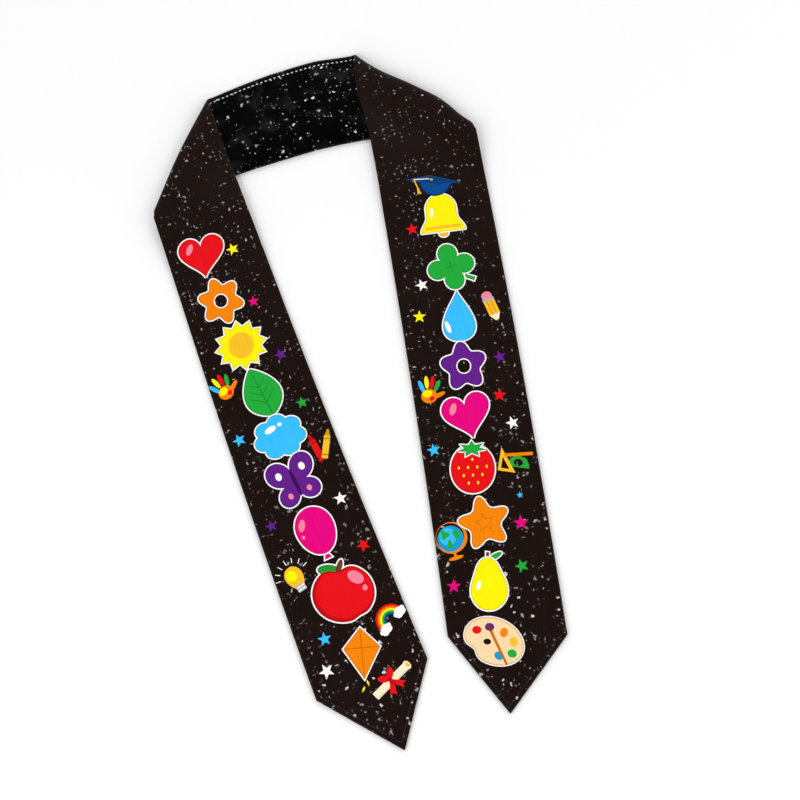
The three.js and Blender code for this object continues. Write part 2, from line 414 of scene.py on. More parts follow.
def add_piece(name, points, faces, finish):
    """Puts points and faces into a new smooth mesh object at the origin, with one material."""
    mesh = bpy.data.meshes.new(name)
    mesh.from_pydata(points.tolist(), [], faces)
    mesh.shade_smooth()
    mesh.materials.append(finish)
    piece = bpy.data.objects.new(name, mesh)
    bpy.context.scene.collection.objects.link(piece)
    return piece


def add_pattern_map(piece, pattern):
    """The cloth's UV map is its flat pattern in metres, so that weave and print follow the cloth round a fold."""
    corners = np.empty(len(piece.data.loops), np.int32)
    piece.data.loops.foreach_get("vertex_index", corners)
    layer = piece.data.uv_layers.new(name="pattern")
    layer.data.foreach_set("uv", (pattern[corners] * MM).astype(np.float32).ravel())


def add_wall(piece, thickness):
    """Gives a cloth its thickness, on the inner side of its faces."""
    wall = piece.modifiers.new("cloth_thickness", "SOLIDIFY")
    wall.thickness = thickness
    wall.offset = -1


# The print is a row of chunky shapes down each leg, with small school motifs and stars beside it. Each shape is a
# flat opaque ink with a darker rim and a white border. The shapes are drawn in millimetres, upright towards the
# neck, and laid over each other in the order of printing.
PRINT_STEP = 0.9


def ink(red, green, blue):
    """A printer's colour from 0 to 255, made linear for the shader by the display's curve."""
    share = np.array([red, green, blue]) / 255
    return tuple(np.where(share <= 0.04045, share / 12.92, ((share + 0.055) / 1.055) ** 2.4))


WHITE, CREAM, GREY = ink(250, 248, 246), ink(246, 232, 200), ink(176, 178, 184)
RED, ORANGE, YELLOW, GREEN = ink(228, 18, 26), ink(243, 131, 8), ink(254, 238, 10), ink(34, 168, 58)
SKY, PURPLE, MAGENTA, BLUE = ink(56, 188, 250), ink(98, 32, 136), ink(228, 6, 126), ink(8, 74, 144)
BROWN, PINK, GOLD, SEA = ink(120, 58, 34), ink(246, 132, 156), ink(246, 190, 40), ink(30, 150, 200)
WOOD, WOOD_RIM = ink(250, 214, 166), ink(214, 160, 98)
GROUND = None
ROUND = np.linspace(0, 2 * math.pi, 720, endpoint=False)


def darker(colour, share=0.62):
    """The same ink at a share of its strength, for rims and shading."""
    return tuple(part * share for part in colour)


def even(points):
    """A smooth closed outline with its points spaced evenly along its length."""
    closed = np.concatenate([points, points[:1]])
    run = np.concatenate([[0], np.cumsum(np.linalg.norm(np.diff(closed, axis=0), axis=1))])
    count = max(10, int(run[-1] / PRINT_STEP))
    wanted = np.arange(count) / count * run[-1]
    return np.stack([np.interp(wanted, run, closed[:, axis]) for axis in (0, 1)], -1)


def polar(wide, tall, reach=np.ones_like):
    """An outline by its reach from the middle at each angle from the top, stretched to a width and a height."""
    x, y = -np.sin(ROUND) * reach(ROUND) * wide / 2, np.cos(ROUND) * reach(ROUND) * tall / 2
    return even(np.stack([x, y], -1))


def from_halves(y, half):
    """A closed outline from its half width at each height, from the bottom up."""
    return even(np.concatenate([np.stack([-half[::-1], y[::-1]], -1), np.stack([half, y], -1)]))


def half_disc(radius, foot):
    """A half circle on its diameter, which is let down by a foot."""
    angle = np.linspace(0, math.pi, 60)
    arch = radius * np.stack([np.cos(angle), np.sin(angle)], -1)
    return even(np.concatenate([arch, [(-radius, -foot), (radius, -foot)]]))


def polygon(*corners):
    """Straight sides between corners, with points along them."""
    corners = np.array(corners, float)
    sides = []
    for start, end in zip(corners, np.roll(corners, -1, 0)):
        count = max(1, round(np.linalg.norm(end - start) / (PRINT_STEP * 1.4)))
        sides.append(start + (end - start) * (np.arange(count) / count)[:, None])
    return np.concatenate(sides)


def bar(low, high, half, half_above=None):
    """Four corners about the middle line, from a low to a high end, with a half width at each."""
    above = half if half_above is None else half_above
    return polygon((-half, low), (half, low), (above, high), (-above, high))


def star(size, points=5, waist=0.42):
    """Points and notches by turns, round a circle."""
    angle = np.arange(2 * points) * math.pi / points
    reach = np.where(np.arange(2 * points) % 2, waist, 1) * size / 2
    return polygon(*np.stack([-np.sin(angle) * reach, np.cos(angle) * reach], -1))


def moved(outline, x=0.0, y=0.0, turn=0.0, size=1.0):
    """The outline turned anticlockwise by degrees, sized, and moved."""
    spin = math.radians(turn)
    rows = np.array([[math.cos(spin), math.sin(spin)], [-math.sin(spin), math.cos(spin)]])
    return size * outline @ rows + (x, y)


def grown(outline, by):
    """The outline moved outwards along the mitres of its corners, without the points that would land too near it
    in a notch."""
    edges = np.roll(outline, -1, 0) - outline
    edges /= np.linalg.norm(edges, axis=1, keepdims=True)
    outward = np.stack([edges[:, 1], -edges[:, 0]], -1)
    before = np.roll(outward, 1, 0)
    mitre = (outward + before) / np.maximum(1 + (outward * before).sum(1, keepdims=True), 0.55)
    new = outline + by * mitre
    gap = np.linalg.norm(new[:, None] - outline[None], axis=-1).min(1)
    return new[gap > 0.95 * abs(by)]


def bordered(outline, colour, border=1.05, rim=0.6):
    """A printed shape in three layers: white border, darker rim, then the ink itself."""
    return [(WHITE, grown(outline, border)), (darker(colour), outline), (colour, grown(outline, -rim))]


def spot(colour, wide, tall, x=0.0, y=0.0, turn=0.0):
    """One layer: an ellipse, turned and moved."""
    return [(colour, moved(polar(wide, tall), x, y, turn))]


def heart(colour):
    """Across is the cube of the angle's sine, and up is a sum of cosines of the angle and its multiples."""
    lobes = 13 * np.cos(ROUND) - 5 * np.cos(2 * ROUND) - 2 * np.cos(3 * ROUND) - np.cos(4 * ROUND)
    outline = even(np.stack([-19 * np.sin(ROUND) ** 3, 1.28 * lobes + 3], -1))
    return bordered(outline, colour) + spot(PINK, 5, 10, -9.5, 9, -28)


def flower(colour, petals):
    """The reach swings with the cosine of so many times the angle. The ground shows through the middle."""
    outline = polar(37, 41, lambda angle: 0.84 + 0.16 * np.cos(petals * angle))
    middle = polar(10, 11)
    return bordered(outline, colour) + [(WHITE, grown(middle, 0.9)), (GROUND, middle)]


def sun(colour):
    """Twelve short points round a golden disc."""
    return bordered(star(43, 12, 0.76), colour) + spot(GOLD, 21, 23)


def leaf(colour):
    """The half width falls with the square of the height from the middle, and veins branch off at a slant."""
    y = np.linspace(-21.5, 22, 200)
    blade = from_halves(y, 15 * (1 - (y / 22) ** 2) ** 0.8 * (1 - 0.013 * y))
    layers = bordered(blade, colour) + [(darker(colour), bar(-20, 17, 0.6, 0.3))]
    for y in (-10, -3, 4):
        vein = bar(0, 11 - 0.3 * y, 0.4, 0.2)
        layers += [(darker(colour), moved(vein, 0, y, turn)) for turn in (-50, 50)]
    return layers


def cloud(colour):
    """The reach swings with the absolute cosine of 3.5 times the angle, which makes seven puffs."""
    outline = polar(42, 36, lambda angle: 0.8 + 0.2 * np.abs(np.cos(3.5 * angle)) ** 0.7)
    return bordered(outline, colour) + spot(WHITE, 10, 5, -6, 7, 20) + spot(WHITE, 4, 3, 2, 9.5)


def butterfly(colour):
    """The reach follows the absolute sine of twice the angle, and is a little longer towards the top."""
    def wings(angle):
        return (0.4 + 0.6 * np.abs(np.sin(2 * angle)) ** 0.8) * (1 + 0.14 * np.cos(angle))

    layers = bordered(polar(45, 47, wings), colour)
    layers += spot(WHITE, 5, 6.5, -10, 10) + spot(WHITE, 5, 6.5, 10, 10)
    layers += spot(PINK, 4, 5, -8, -8.5) + spot(PINK, 4, 5, 8, -8.5)
    return layers + spot(darker(colour, 0.35), 3.2, 24)


def balloon(colour):
    """An ellipse drawn in low on both sides, over a knot."""
    skin = polar(33, 39, lambda angle: 1 - 0.08 * (1 - np.cos(angle)) * np.sin(angle) ** 2)
    layers = bordered(bar(-24, -18.5, 3, 0.6), colour, 1.0, 0.4) + bordered(skin, colour)
    return layers + spot(PINK, 5, 10, -8.5, 8, -28) + spot(PINK, 2.6, 3, -11, -1)


def apple():
    """An ellipse less two bell curves of the angle, under the stem and at the lower right. Its shaded rims are the
    outline drawn in and moved to the upper right."""
    def skin_reach(angle):
        from_top = np.mod(angle + 1, 2 * math.pi) - 1
        top_dent = 0.21 * np.exp(-(((from_top - 0.12) / 0.34) ** 2))
        return 0.98 - top_dent - 0.06 * np.exp(-(((angle - 3.62) / 0.2) ** 2))

    skin = polar(55, 51, skin_reach)
    stem = moved(polar(5.6, 15, lambda angle: 0.86 + 0.14 * np.cos(angle)), -1.2, 22.5, -22)
    blade = moved(polar(12.5, 19, lambda angle: 0.76 + 0.24 * np.abs(np.cos(angle)) ** 3), -10.5, 21.5, 82)
    layers = [(WHITE, grown(part, 1.2)) for part in (skin, stem, blade)]
    layers += [(darker(GREEN, 0.35), blade), (darker(GREEN, 0.78), grown(blade, -0.7))]
    layers += [(darker(BROWN, 0.5), stem), (BROWN, moved(grown(stem, -0.8), 0.4, 0))]
    layers += [(darker(RED, 0.5), skin), (darker(RED, 0.72), moved(grown(skin, -1.0), 0.5, 0.3))]
    layers += [(RED, moved(grown(skin, -2.6), 1.0, 0.8))]
    return layers + spot(PINK, 15, 10, 12, 12.5, -36) + spot(PINK, 4.4, 5.2, 19, 2.5)


def kite(colour):
    """A sail of four corners with crossed spars, and two ties on its tail."""
    layers = bordered(polygon((0, 23), (-15.5, 6), (0, -20), (15.5, 6)), colour)
    layers += [(darker(colour), bar(-17, 20, 0.4)), (darker(colour), bar(5.6, 6.4, 13))]
    for x, y, turn in ((2.5, -23, 20), (-1.5, -28, -25)):
        layers.append((YELLOW, moved(star(6, 2, 0.3), x, y, turn)))
    return layers


def bell(colour):
    """The half width is a quarter circle at the crown, and eases outwards to the lip."""
    y = np.linspace(-15, 18.9, 200)
    half = 13 * np.sqrt(1 - (np.maximum(y - 5, 0) / 14) ** 2) + 5.5 * smooth(-y, 1, 14)
    layers = bordered(moved(polar(8, 7), 0, -16.3), GOLD) + bordered(from_halves(y, half), colour)
    return layers + [(GOLD, bar(-12.2, -9.6, 15.5, 14.6))] + spot(WHITE, 2.6, 9, -8, 3, -6)


def clover(colour):
    """The reach follows the absolute cosine of twice the angle: four leaves, over a bent stem."""
    leaves = polar(40, 42, lambda angle: 0.5 + 0.5 * np.abs(np.cos(2 * angle)) ** 0.75)
    stem = polygon((1, -3), (10, -13.5), (15.5, -17.5), (17.5, -14.5), (12, -11), (3, -1))
    layers = bordered(stem, colour, 1.0, 0.4) + bordered(leaves, colour)
    return layers + [(darker(colour, 0.75), moved(polar(1.1, 12), turn=turn)) for turn in (0, 90)]


def drop(colour):
    """Up is the angle's cosine, and across its sine, drawn in towards the top by the sine of half the angle."""
    across = -18.5 * np.sin(ROUND) * np.abs(np.sin(ROUND / 2)) ** 1.5
    outline = even(np.stack([across, 21.5 * np.cos(ROUND)], -1))
    return bordered(outline, colour) + spot(WHITE, 3.6, 11, -9, -9, 18)


def strawberry(colour):
    """An ellipse drawn in towards its tip, with rows of seeds by turns half a step aside, and a flattened star."""
    def body_reach(angle):
        return 1 - 0.16 * np.sin(angle / 2) ** 8 - 0.1 * np.sin(angle) ** 2 * np.sin(angle / 2)

    layers = bordered(polar(37, 42, body_reach), colour)
    for row in range(5):
        for step in range(-2, 3):
            x, y = 7.2 * step + 3.6 * (row % 2), 9 - 6.2 * row
            if math.hypot(x, y + 1) < 13.5 - 0.25 * abs(y):
                layers += spot(YELLOW, 1.6, 2.5, x, y)
    crown = star(24, 7, 0.5) * (1, 0.55) + (0, 17.5)
    return layers + bordered(crown, GREEN, 0.8, 0.4)


def round_star(colour):
    """The reach swings with the cosine of five times the angle, and a small star is drawn on it in a darker line."""
    outline = polar(41, 42, lambda angle: 0.8 + 0.2 * np.cos(5 * angle) + 0.03 * np.cos(10 * angle))
    return bordered(outline, colour) + [(darker(colour, 0.8), star(17, 5, 0.5)), (colour, star(12.5, 5, 0.5))]


def pear(colour):
    """The reach is a sum of cosines of the angle and its multiples, over a leaf and a stem."""
    def skin_reach(angle):
        return 0.87 - 0.17 * np.cos(angle) + 0.13 * np.cos(2 * angle) + 0.05 * np.cos(3 * angle)

    blade = moved(polar(6, 12, lambda angle: 0.7 + 0.3 * np.abs(np.cos(angle)) ** 3), 6.5, 18.5, -65)
    stem = polygon((-1, 13), (1, 13), (2.2, 22), (-0.2, 22.6))
    layers = bordered(blade, GREEN, 0.9, 0.4) + bordered(stem, BROWN, 0.9, 0.3)
    return layers + bordered(polar(35, 41, skin_reach), colour) + spot(WHITE, 3.4, 7, -8, -3, -16)


def graduate_cap():
    """A half circle for the crown under a board of four corners, with a cord and a tassel."""
    angle = np.linspace(-math.pi / 2, math.pi / 2, 40)
    crown = np.stack([1.8 + 15 * np.sin(angle), 4 - 15 * np.cos(angle)], -1)
    board = polygon((-26, 4), (5, 0), (26, 4), (-4, 9.6))
    cord = polygon((-3.5, 5.6), (-3.5, 6.6), (-18.4, 5.1), (-18.4, 4.1))
    tassel = polygon((-18.6, 4.9), (-17.3, 4.9), (-12.8, -4), (-9.8, -9.4), (-13.6, -9.4), (-14.2, -4))
    layers = [(darker(BLUE, 0.4), crown), (BLUE, moved(grown(crown, -1.2), 0.6, 0.4))]
    layers += [(BLUE, board), (darker(BLUE), grown(board, -0.6))]
    return layers + [(CREAM, cord), (GOLD, tassel)] + spot(GOLD, 2.8, 1.8, -1.5, 5.4)


def palette():
    """An ellipse less one bell curve of the angle, with a thumb hole, dabs of paint and a slanting brush."""
    board = polar(52, 38, lambda angle: 1 - 0.2 * np.exp(-(((angle - 2.5) / 0.3) ** 2)))
    layers = [(WHITE, grown(board, 0.9)), (WOOD_RIM, board), (WOOD, grown(board, -0.8))]
    for colour, x, y in (
        (RED, -17, 3), (PURPLE, -8, 9.5), (ORANGE, 5, 10), (GOLD, 15.5, 6), (GREEN, 18, -3.5), (SEA, 8.5, -9.5),
    ):
        layers += spot(colour, 8, 6.6, x, y, 20 * x)
    layers += spot(GROUND, 6.5, 5, -5, -2.5, 20)
    tip = polygon((-1.5, 9), (1.5, 9), (1, 13.5), (0, 17), (-1, 13.5))
    for colour, part in ((darker(ORANGE, 0.6), bar(-22, 9, 0.9, 1.2)), (BROWN, tip)):
        layers.append((colour, moved(part, 1, 1, 48)))
    return layers


def small_star(colour):
    """Five points in one ink, without a border."""
    return [(colour, star(12.6))]


def crayons():
    """Two sticks with blunt points and two dark bands each, leaning apart."""
    layers = []
    for colour, x, turn in ((RED, -5, 8), (GOLD, 4, -26)):
        parts = [(colour, bar(-12, 7, 2.6)), (darker(colour), bar(7, 12.5, 2.2, 0.7))]
        parts += [(darker(colour, 0.5), bar(y, y + 1.2, 2.6)) for y in (-9.5, 4)]
        layers += [(shade, moved(part, x, 0, turn)) for shade, part in parts]
    return layers


def hand_print():
    """An oval palm, and four fingers and a thumb as ellipses, each in its own paint."""
    layers = []
    for colour, x, y, turn in (
        (SKY, -6.5, 4, 24), (YELLOW, -2.4, 7.5, 8), (RED, 2.2, 7.5, -6), (GREEN, 6.2, 4.5, -22), (ORANGE, 8, -3, -62),
    ):
        layers += spot(colour, 3.6, 11, x, y, turn)
    return layers + spot(ORANGE, 13, 12, 0, -4) + spot(YELLOW, 8, 6, -1.5, -2, 20) + spot(RED, 4.5, 3.6, 2.5, -6, 40)


def lamp_bulb():
    """An ellipse drawn in low on both sides, over a ridged metal cap, with short rays round its top."""
    layers = [(WHITE, moved(bar(12, 16.5, 0.35), 0, 3, turn)) for turn in range(-75, 76, 25)]
    glass = polar(18, 21, lambda angle: 1 - 0.13 * np.sin(angle) ** 2 * (1 - np.cos(angle)))
    layers += [(GOLD, moved(glass, 0, 1.8))] + spot(YELLOW, 9, 10, -1.5, 4.5)
    layers.append((GREY, bar(-11.5, -5.2, 3.8, 4.2)))
    return layers + [(WHITE, bar(y, y + 1.1, 3.9)) for y in (-10.4, -7.6)]


def rainbow():
    """Half discs of falling radius laid over each other, with a lobed puff of cloud at each foot."""
    layers = []
    for radius, colour in ((13.5, RED), (11.6, ORANGE), (9.8, YELLOW), (8.0, GREEN), (6.2, BLUE), (4.4, GROUND)):
        layers.append((colour, half_disc(radius, 1)))
    puff = polar(13, 9, lambda angle: 0.84 + 0.16 * np.abs(np.cos(2.5 * angle)))
    return layers + [(WHITE, moved(puff, x, -1.5)) for x in (-9.5, 9.5)]


def scroll():
    """A rolled sheet with its far side in shade, and a bow of two loops and two notched ends."""
    tail = polygon((-1.5, 0), (1.5, 0), (2.6, -11), (0, -9), (-2.6, -11))
    layers = [(darker(CREAM, 0.8), bar(-3.2, 3.2, 17)), (CREAM, bar(-1.9, 3.2, 17))]
    layers += spot(CREAM, 5, 7.4, 17) + spot(GOLD, 2.4, 4, 17.4)
    layers += spot(RED, 5.2, 9.5, -3.2, 5, 46) + spot(RED, 5.2, 9.5, 3.2, 5, -46)
    layers += [(RED, moved(tail, turn=turn)) for turn in (-34, 34)]
    return layers + [(darker(RED), bar(-3.4, 3.4, 1.7))]


def pencil():
    """A bar with two ridges, a bared wooden point and its lead, a metal collar and a round eraser."""
    layers = spot(PINK, 9.2, 9, 0, 11.5) + [(GOLD, bar(-6, 7, 4.8))]
    layers += [(ORANGE, moved(bar(-6, 7, 0.5), x)) for x in (-1.7, 1.7)]
    layers.append((CREAM, polygon((-4.8, -6), (0, -14), (4.8, -6))))
    layers.append((BROWN, polygon((-1.4, -11.7), (0, -14), (1.4, -11.7))))
    return layers + [(GREY, bar(7, 9.6, 5))]


def drawing_tools():
    """A protractor as a half disc with a hole, a set square as a triangle in a triangle, and a ruler as a bar."""
    layers = [(GREEN, moved(half_disc(9.5, 0), 4, -3))] + spot(GROUND, 8, 6, 4, 1)
    layers.append((GOLD, polygon((-12, -8), (3, -8), (-12, 12))))
    layers.append((GROUND, polygon((-9.6, -5.6), (-2.6, -5.6), (-9.6, 4))))
    return layers + [(ORANGE, moved(bar(-1.4, 1.4, 12), 3, 8, 12))]


def globe():
    """A ring as one disc on another, with a post and a foot, and a ball with three lobed lands."""
    layers = spot(ORANGE, 23, 23, 0.8, 0.5) + spot(GROUND, 20.4, 20.4, 0, 1.2)
    layers += [(ORANGE, bar(-14, -10, 0.9))] + spot(ORANGE, 11, 2.8, 0, -14.5)
    layers += spot(SEA, 19, 19) + spot(SKY, 12, 13, -1.5, 2)
    for wide, tall, x, y, turn in ((7, 8, -3.4, 4, 20), (5, 7.5, -1.6, -4, -10), (6.5, 7, 5, 2, 40)):
        land = polar(wide, tall, lambda angle: 0.8 + 0.2 * np.cos(3 * angle))
        layers.append((GREEN, moved(land, x, y, turn)))
    return layers


# Each row places one shape: how far past the shoulder it lies, how far right of the leg's middle, its lean, and
# its size.
SMALL = {
    -1: (
        (small_star(YELLOW), 112, 17, 5, 1), (small_star(MAGENTA), 168, 19, -12, 0.9),
        (small_star(PURPLE), 226, 26, 8, 1), (hand_print(), 237, -33, 16, 1.1),
        (small_star(GREEN), 276, 29, -6, 0.9), (small_star(SKY), 288, -35, 10, 1),
        (crayons(), 320, 32, 0, 1.1), (small_star(WHITE), 371, 31, -10, 1),
        (small_star(PURPLE), 372, -34, 0, 0.9), (small_star(RED), 417, 35, 12, 1),
        (lamp_bulb(), 424, -30, 14, 1), (rainbow(), 486, 34, 32, 1), (small_star(SKY), 481, -25, -8, 1),
        (small_star(WHITE), 507, -33, 14, 1.1), (scroll(), 534, 15, 24, 1.1),
    ),
    1: (
        (small_star(RED), 147, -26, 0, 1), (small_star(WHITE), 203, -26, 12, 1),
        (small_star(YELLOW), 233, -33, -8, 1), (pencil(), 236, 33, 14, 1.05),
        (small_star(PURPLE), 283, 32, 6, 1), (hand_print(), 304, -35, -10, 1.1),
        (small_star(RED), 318, 26, -12, 1), (small_star(WHITE), 345, 33, 10, 1),
        (drawing_tools(), 381, 28, -18, 1.05), (small_star(SKY), 358, -39, 4, 1),
        (small_star(SKY), 410, 29, 0, 0.5), (globe(), 438, -36, 8, 1.2),
        (small_star(MAGENTA), 434, 26, -4, 1.1), (small_star(GREEN), 471, 21, 14, 1),
        (small_star(MAGENTA), 479, -39, -8, 1),
    ),
}
CHUNKY = {
    -1: (
        (heart(RED), 109, -12, -8, 1.13), (flower(ORANGE, 6), 156, -9, 4, 1.13), (sun(YELLOW), 204, -5, -6, 1.1),
        (leaf(GREEN), 253, -2, 8, 1.12), (cloud(SKY), 298, 0, -6, 1.13), (butterfly(PURPLE), 343, -1, 6, 1.13),
        (balloon(MAGENTA), 390, 1, 4, 1.12), (apple(), 450, 4, -14, 1), (kite(ORANGE), 505, 0, -16, 1.02),
    ),
    1: (
        (bell(YELLOW), 138, 3, -3, 1.1), (clover(GREEN), 190, 3, 6, 1.08), (drop(SKY), 238, 2, -5, 1.13),
        (flower(PURPLE, 5), 286, -1, 0, 1.13), (heart(MAGENTA), 333, -5, 6, 1.13),
        (strawberry(RED), 382, -8, -6, 1.13), (round_star(ORANGE), 429, -5, 5, 1.08),
        (pear(YELLOW), 479, -9, -4, 1.1), (graduate_cap(), 107, 0, -13, 1), (palette(), 530, -12, -32, 1),
    ),
}


def printed(rows, side):
    """The rows' shapes on the flat pattern of one leg, as (ink, outline). Up a shape is towards the neck."""
    layers = []
    for shapes, past_shoulder, right_of_middle, lean, size in rows:
        for colour, outline in shapes:
            x, y = moved(outline, right_of_middle, 0, lean, size).T
            place = np.stack([side * (HALF_NECK + past_shoulder - y), -side * x], -1)
            layers.append((colour, place[::-1]))
    return layers


PRINT = [layer for side in (-1, 1) for rows in (SMALL, CHUNKY) for layer in printed(rows[side], side)]

# The face is printed satin: a warm black ground with rich opaque colours and a scatter of pale dots. Its edges
# roll round to the lining's side, where the seam holds them. The weave and the flecks are groups for both cloths.
FACE_EDGE = (
    (2.6, 1.15), (1.7, 1.12), (1.0, 1.0), (0.5, 0.8), (0.18, 0.5), (0.02, 0.2), (0.0, -0.05), (0.08, -0.35),
    (0.35, -0.65), (0.8, -0.8), (1.3, -0.72), (1.9, -0.4), (2.6, -0.25),
)
FACE_GROUND = ink(27, 16, 13)
FACE_WALL = 0.00042
FLECK_SLANT = math.radians(42)


def calculate(tree, operation, *values):
    """A Math node's result."""
    return add_node(tree, "ShaderNodeMath", {"operation": operation}, dict(enumerate(values))).outputs[0]


def noise(tree, place, scale, detail, output="Fac"):
    """Smooth flat noise at so many waves a metre, with finer waves added as often as the detail says."""
    inputs = {"Vector": place, "Scale": scale, "Detail": detail}
    return add_node(tree, "ShaderNodeTexNoise", {"noise_dimensions": "2D"}, inputs).outputs[output]


def blended(tree, share, first, second, how="MIX"):
    """A colour that goes by a share from the first to the second, or to the product of both."""
    colours = [part if isinstance(part, bpy.types.NodeSocket) else (*part, 1) for part in (first, second)]
    inputs = {0: share, 6: colours[0], 7: colours[1]}
    return add_node(tree, "ShaderNodeMix", {"data_type": "RGBA", "blend_type": how}, inputs).outputs[2]


def new_group(name, inputs, outputs):
    """A node group with named float or vector inputs, given with their usual values, and named float outputs."""
    tree = bpy.data.node_groups.new(name, "ShaderNodeTree")
    for socket, usual in inputs.items():
        kind = "NodeSocketVector" if usual is None else "NodeSocketFloat"
        made = tree.interface.new_socket(name=socket, in_out="INPUT", socket_type=kind)
        if usual is not None:
            made.default_value = usual
    for socket in outputs:
        tree.interface.new_socket(name=socket, in_out="OUTPUT", socket_type="NodeSocketFloat")
    start, end = tree.nodes.new("NodeGroupInput"), tree.nodes.new("NodeGroupOutput")
    return tree, start.outputs, end.inputs


def satin_weave_group():
    """Satin's long floating threads: fine ridges, streaks of thicker yarn, and slow cloudiness, which the cloths mix
    into their colour as painted sheen. Ridges and streaks are noises on the pattern, stretched along the band."""
    tree, given, result = new_group("satin_weave", {"Pattern": None}, ("Height", "Streak", "Cloud"))
    threads = noise(tree, calculate_vector(tree, "MULTIPLY", given["Pattern"], (650, 4300, 0)), 1.0, 2.0)
    streak = noise(tree, calculate_vector(tree, "MULTIPLY", given["Pattern"], (28, 420, 0)), 1.0, 3.0)
    height = calculate(tree, "MULTIPLY_ADD", threads, 0.7, calculate(tree, "MULTIPLY", streak, 0.3))
    tree.links.new(height, result["Height"])
    tree.links.new(streak, result["Streak"])
    # The slow cloud is painted sheen: the cloths lighten and darken their colour with it.
    tree.links.new(noise(tree, given["Pattern"], 38.0, 3.0), result["Cloud"])
    return tree


def scattered_dots_group():
    """Pale flecks at random, one or none in each cell of a mesh of bent cells: 1 in an ellipse of its own size and
    slant, easing to 0 round its rim, times its own brightness. Where a slow noise is low they are left out, so that
    they lie in loose clusters. Their slants lie round one direction on the left leg, and mirrored on the right."""
    usual = {"Pattern": None, "Spacing": 5.0, "Size": 0.16, "Share": 0.4, "Length": 1.0, "Brightness": 1.0}
    tree, given, result = new_group("scattered_dots", usual, ("Amount",))
    place = calculate_vector(tree, "SCALE", given["Pattern"], calculate(tree, "DIVIDE", 1000.0, given["Spacing"]))
    bend = calculate_vector(tree, "SUBTRACT", noise(tree, place, 2.2, 1.0, "Color"), (0.5, 0.5, 0.5))
    bent = calculate_vector(tree, "ADD", place, calculate_vector(tree, "SCALE", bend, 0.55))
    flat = calculate_vector(tree, "MULTIPLY", bent, (1, 1, 0))
    cells = add_node(tree, "ShaderNodeTexVoronoi", {"voronoi_dimensions": "2D"}, {"Vector": flat, "Scale": 1.0})
    chance = add_node(tree, "ShaderNodeSeparateColor", None, {0: cells.outputs["Color"]}).outputs
    along_band = add_node(tree, "ShaderNodeSeparateXYZ", None, {0: given["Pattern"]}).outputs[0]
    mirrored = calculate(tree, "MULTIPLY", calculate(tree, "SIGN", along_band), FLECK_SLANT)
    astray = calculate(tree, "SINE", calculate(tree, "MULTIPLY", chance[0], 40.0))
    inputs = {
        "Vector": calculate_vector(tree, "SUBTRACT", flat, cells.outputs["Position"]),
        "Angle": calculate(tree, "ADD", mirrored, astray),
    }
    slanted = add_node(tree, "ShaderNodeVectorRotate", {"rotation_type": "Z_AXIS"}, inputs).outputs[0]
    squeeze = add_node(tree, "ShaderNodeCombineXYZ", None, {0: 1.0, 1: given["Length"]}).outputs[0]
    distance = calculate_vector(tree, "LENGTH", calculate_vector(tree, "MULTIPLY", slanted, squeeze))
    radius = calculate(tree, "MULTIPLY", given["Size"], calculate(tree, "MULTIPLY_ADD", chance[0], 0.9, 0.3))
    core, rim = calculate(tree, "MULTIPLY", radius, 0.6), calculate(tree, "MULTIPLY", radius, 1.25)
    dot = ranged(tree, distance, core, rim, 1.0, 0.0, "SMOOTHSTEP")
    gathered = calculate(tree, "MULTIPLY_ADD", noise(tree, given["Pattern"], 52.0, 1.0), 3.2, -0.6)
    there = calculate(tree, "LESS_THAN", chance[1], calculate(tree, "MULTIPLY", given["Share"], gathered))
    drawn = calculate(tree, "MULTIPLY_ADD", calculate(tree, "POWER", chance[2], 2.0), 0.85, 0.15)
    bright = calculate(tree, "MINIMUM", calculate(tree, "MULTIPLY", drawn, given["Brightness"]), 1.0)
    amount = calculate(tree, "MULTIPLY", calculate(tree, "MULTIPLY", dot, there), bright)
    tree.links.new(amount, result["Amount"])
    return tree


SATIN_WEAVE, SCATTERED_DOTS = satin_weave_group(), scattered_dots_group()


def dots(tree, pattern, **values):
    """One scatter of pale flecks on a cloth's pattern, with the group's inputs by name."""
    inputs = {"Pattern": pattern, **values}
    return add_node(tree, "ShaderNodeGroup", {"node_tree": SCATTERED_DOTS}, inputs).outputs["Amount"]


def new_finish(name):
    """A new material with its node tree and its shader."""
    finish = bpy.data.materials.new(name)
    finish.use_nodes = True
    return finish, finish.node_tree, finish.node_tree.nodes["Principled BSDF"]


def weave(tree, shader, relief):
    """Satin threads on a cloth: their relief goes to the shader. The flat pattern, the threads' streaks, and the slow
    clouds used for painted sheen are returned."""
    pattern = add_node(tree, "ShaderNodeUVMap", {"uv_map": "pattern"}).outputs[0]
    threads = add_node(tree, "ShaderNodeGroup", {"node_tree": SATIN_WEAVE}, {"Pattern": pattern}).outputs
    inputs = {"Height": threads["Height"], "Strength": 0.5, "Distance": relief}
    tree.links.new(add_node(tree, "ShaderNodeBump", None, inputs).outputs[0], shader.inputs["Normal"])
    return pattern, threads["Streak"], threads["Cloud"]


face_finish, tree, shader = new_finish("printed_satin")
pattern_map, streak, sheen_cloud = weave(tree, shader, relief=0.00004)
round_dots = dots(tree, pattern_map, Spacing=5.2, Size=0.22, Share=0.3, Length=2.0)
long_dots = dots(tree, pattern_map, Spacing=4.4, Size=0.31, Share=0.15, Length=2.8, Brightness=1.2)
big_dots = dots(tree, pattern_map, Spacing=8.0, Size=0.18, Share=0.34, Length=1.25, Brightness=2.0)
along_band = add_node(tree, "ShaderNodeSeparateXYZ", None, {0: pattern_map}).outputs[0]
near_tip = ranged(tree, calculate(tree, "ABSOLUTE", along_band), 0.42, 0.6)
fine = calculate(tree, "MAXIMUM", round_dots, long_dots)
faded = calculate(tree, "MULTIPLY", fine, calculate(tree, "MULTIPLY_ADD", near_tip, -0.36, 0.72))
speckle = calculate(tree, "MAXIMUM", faded, calculate(tree, "MULTIPLY", big_dots, near_tip))
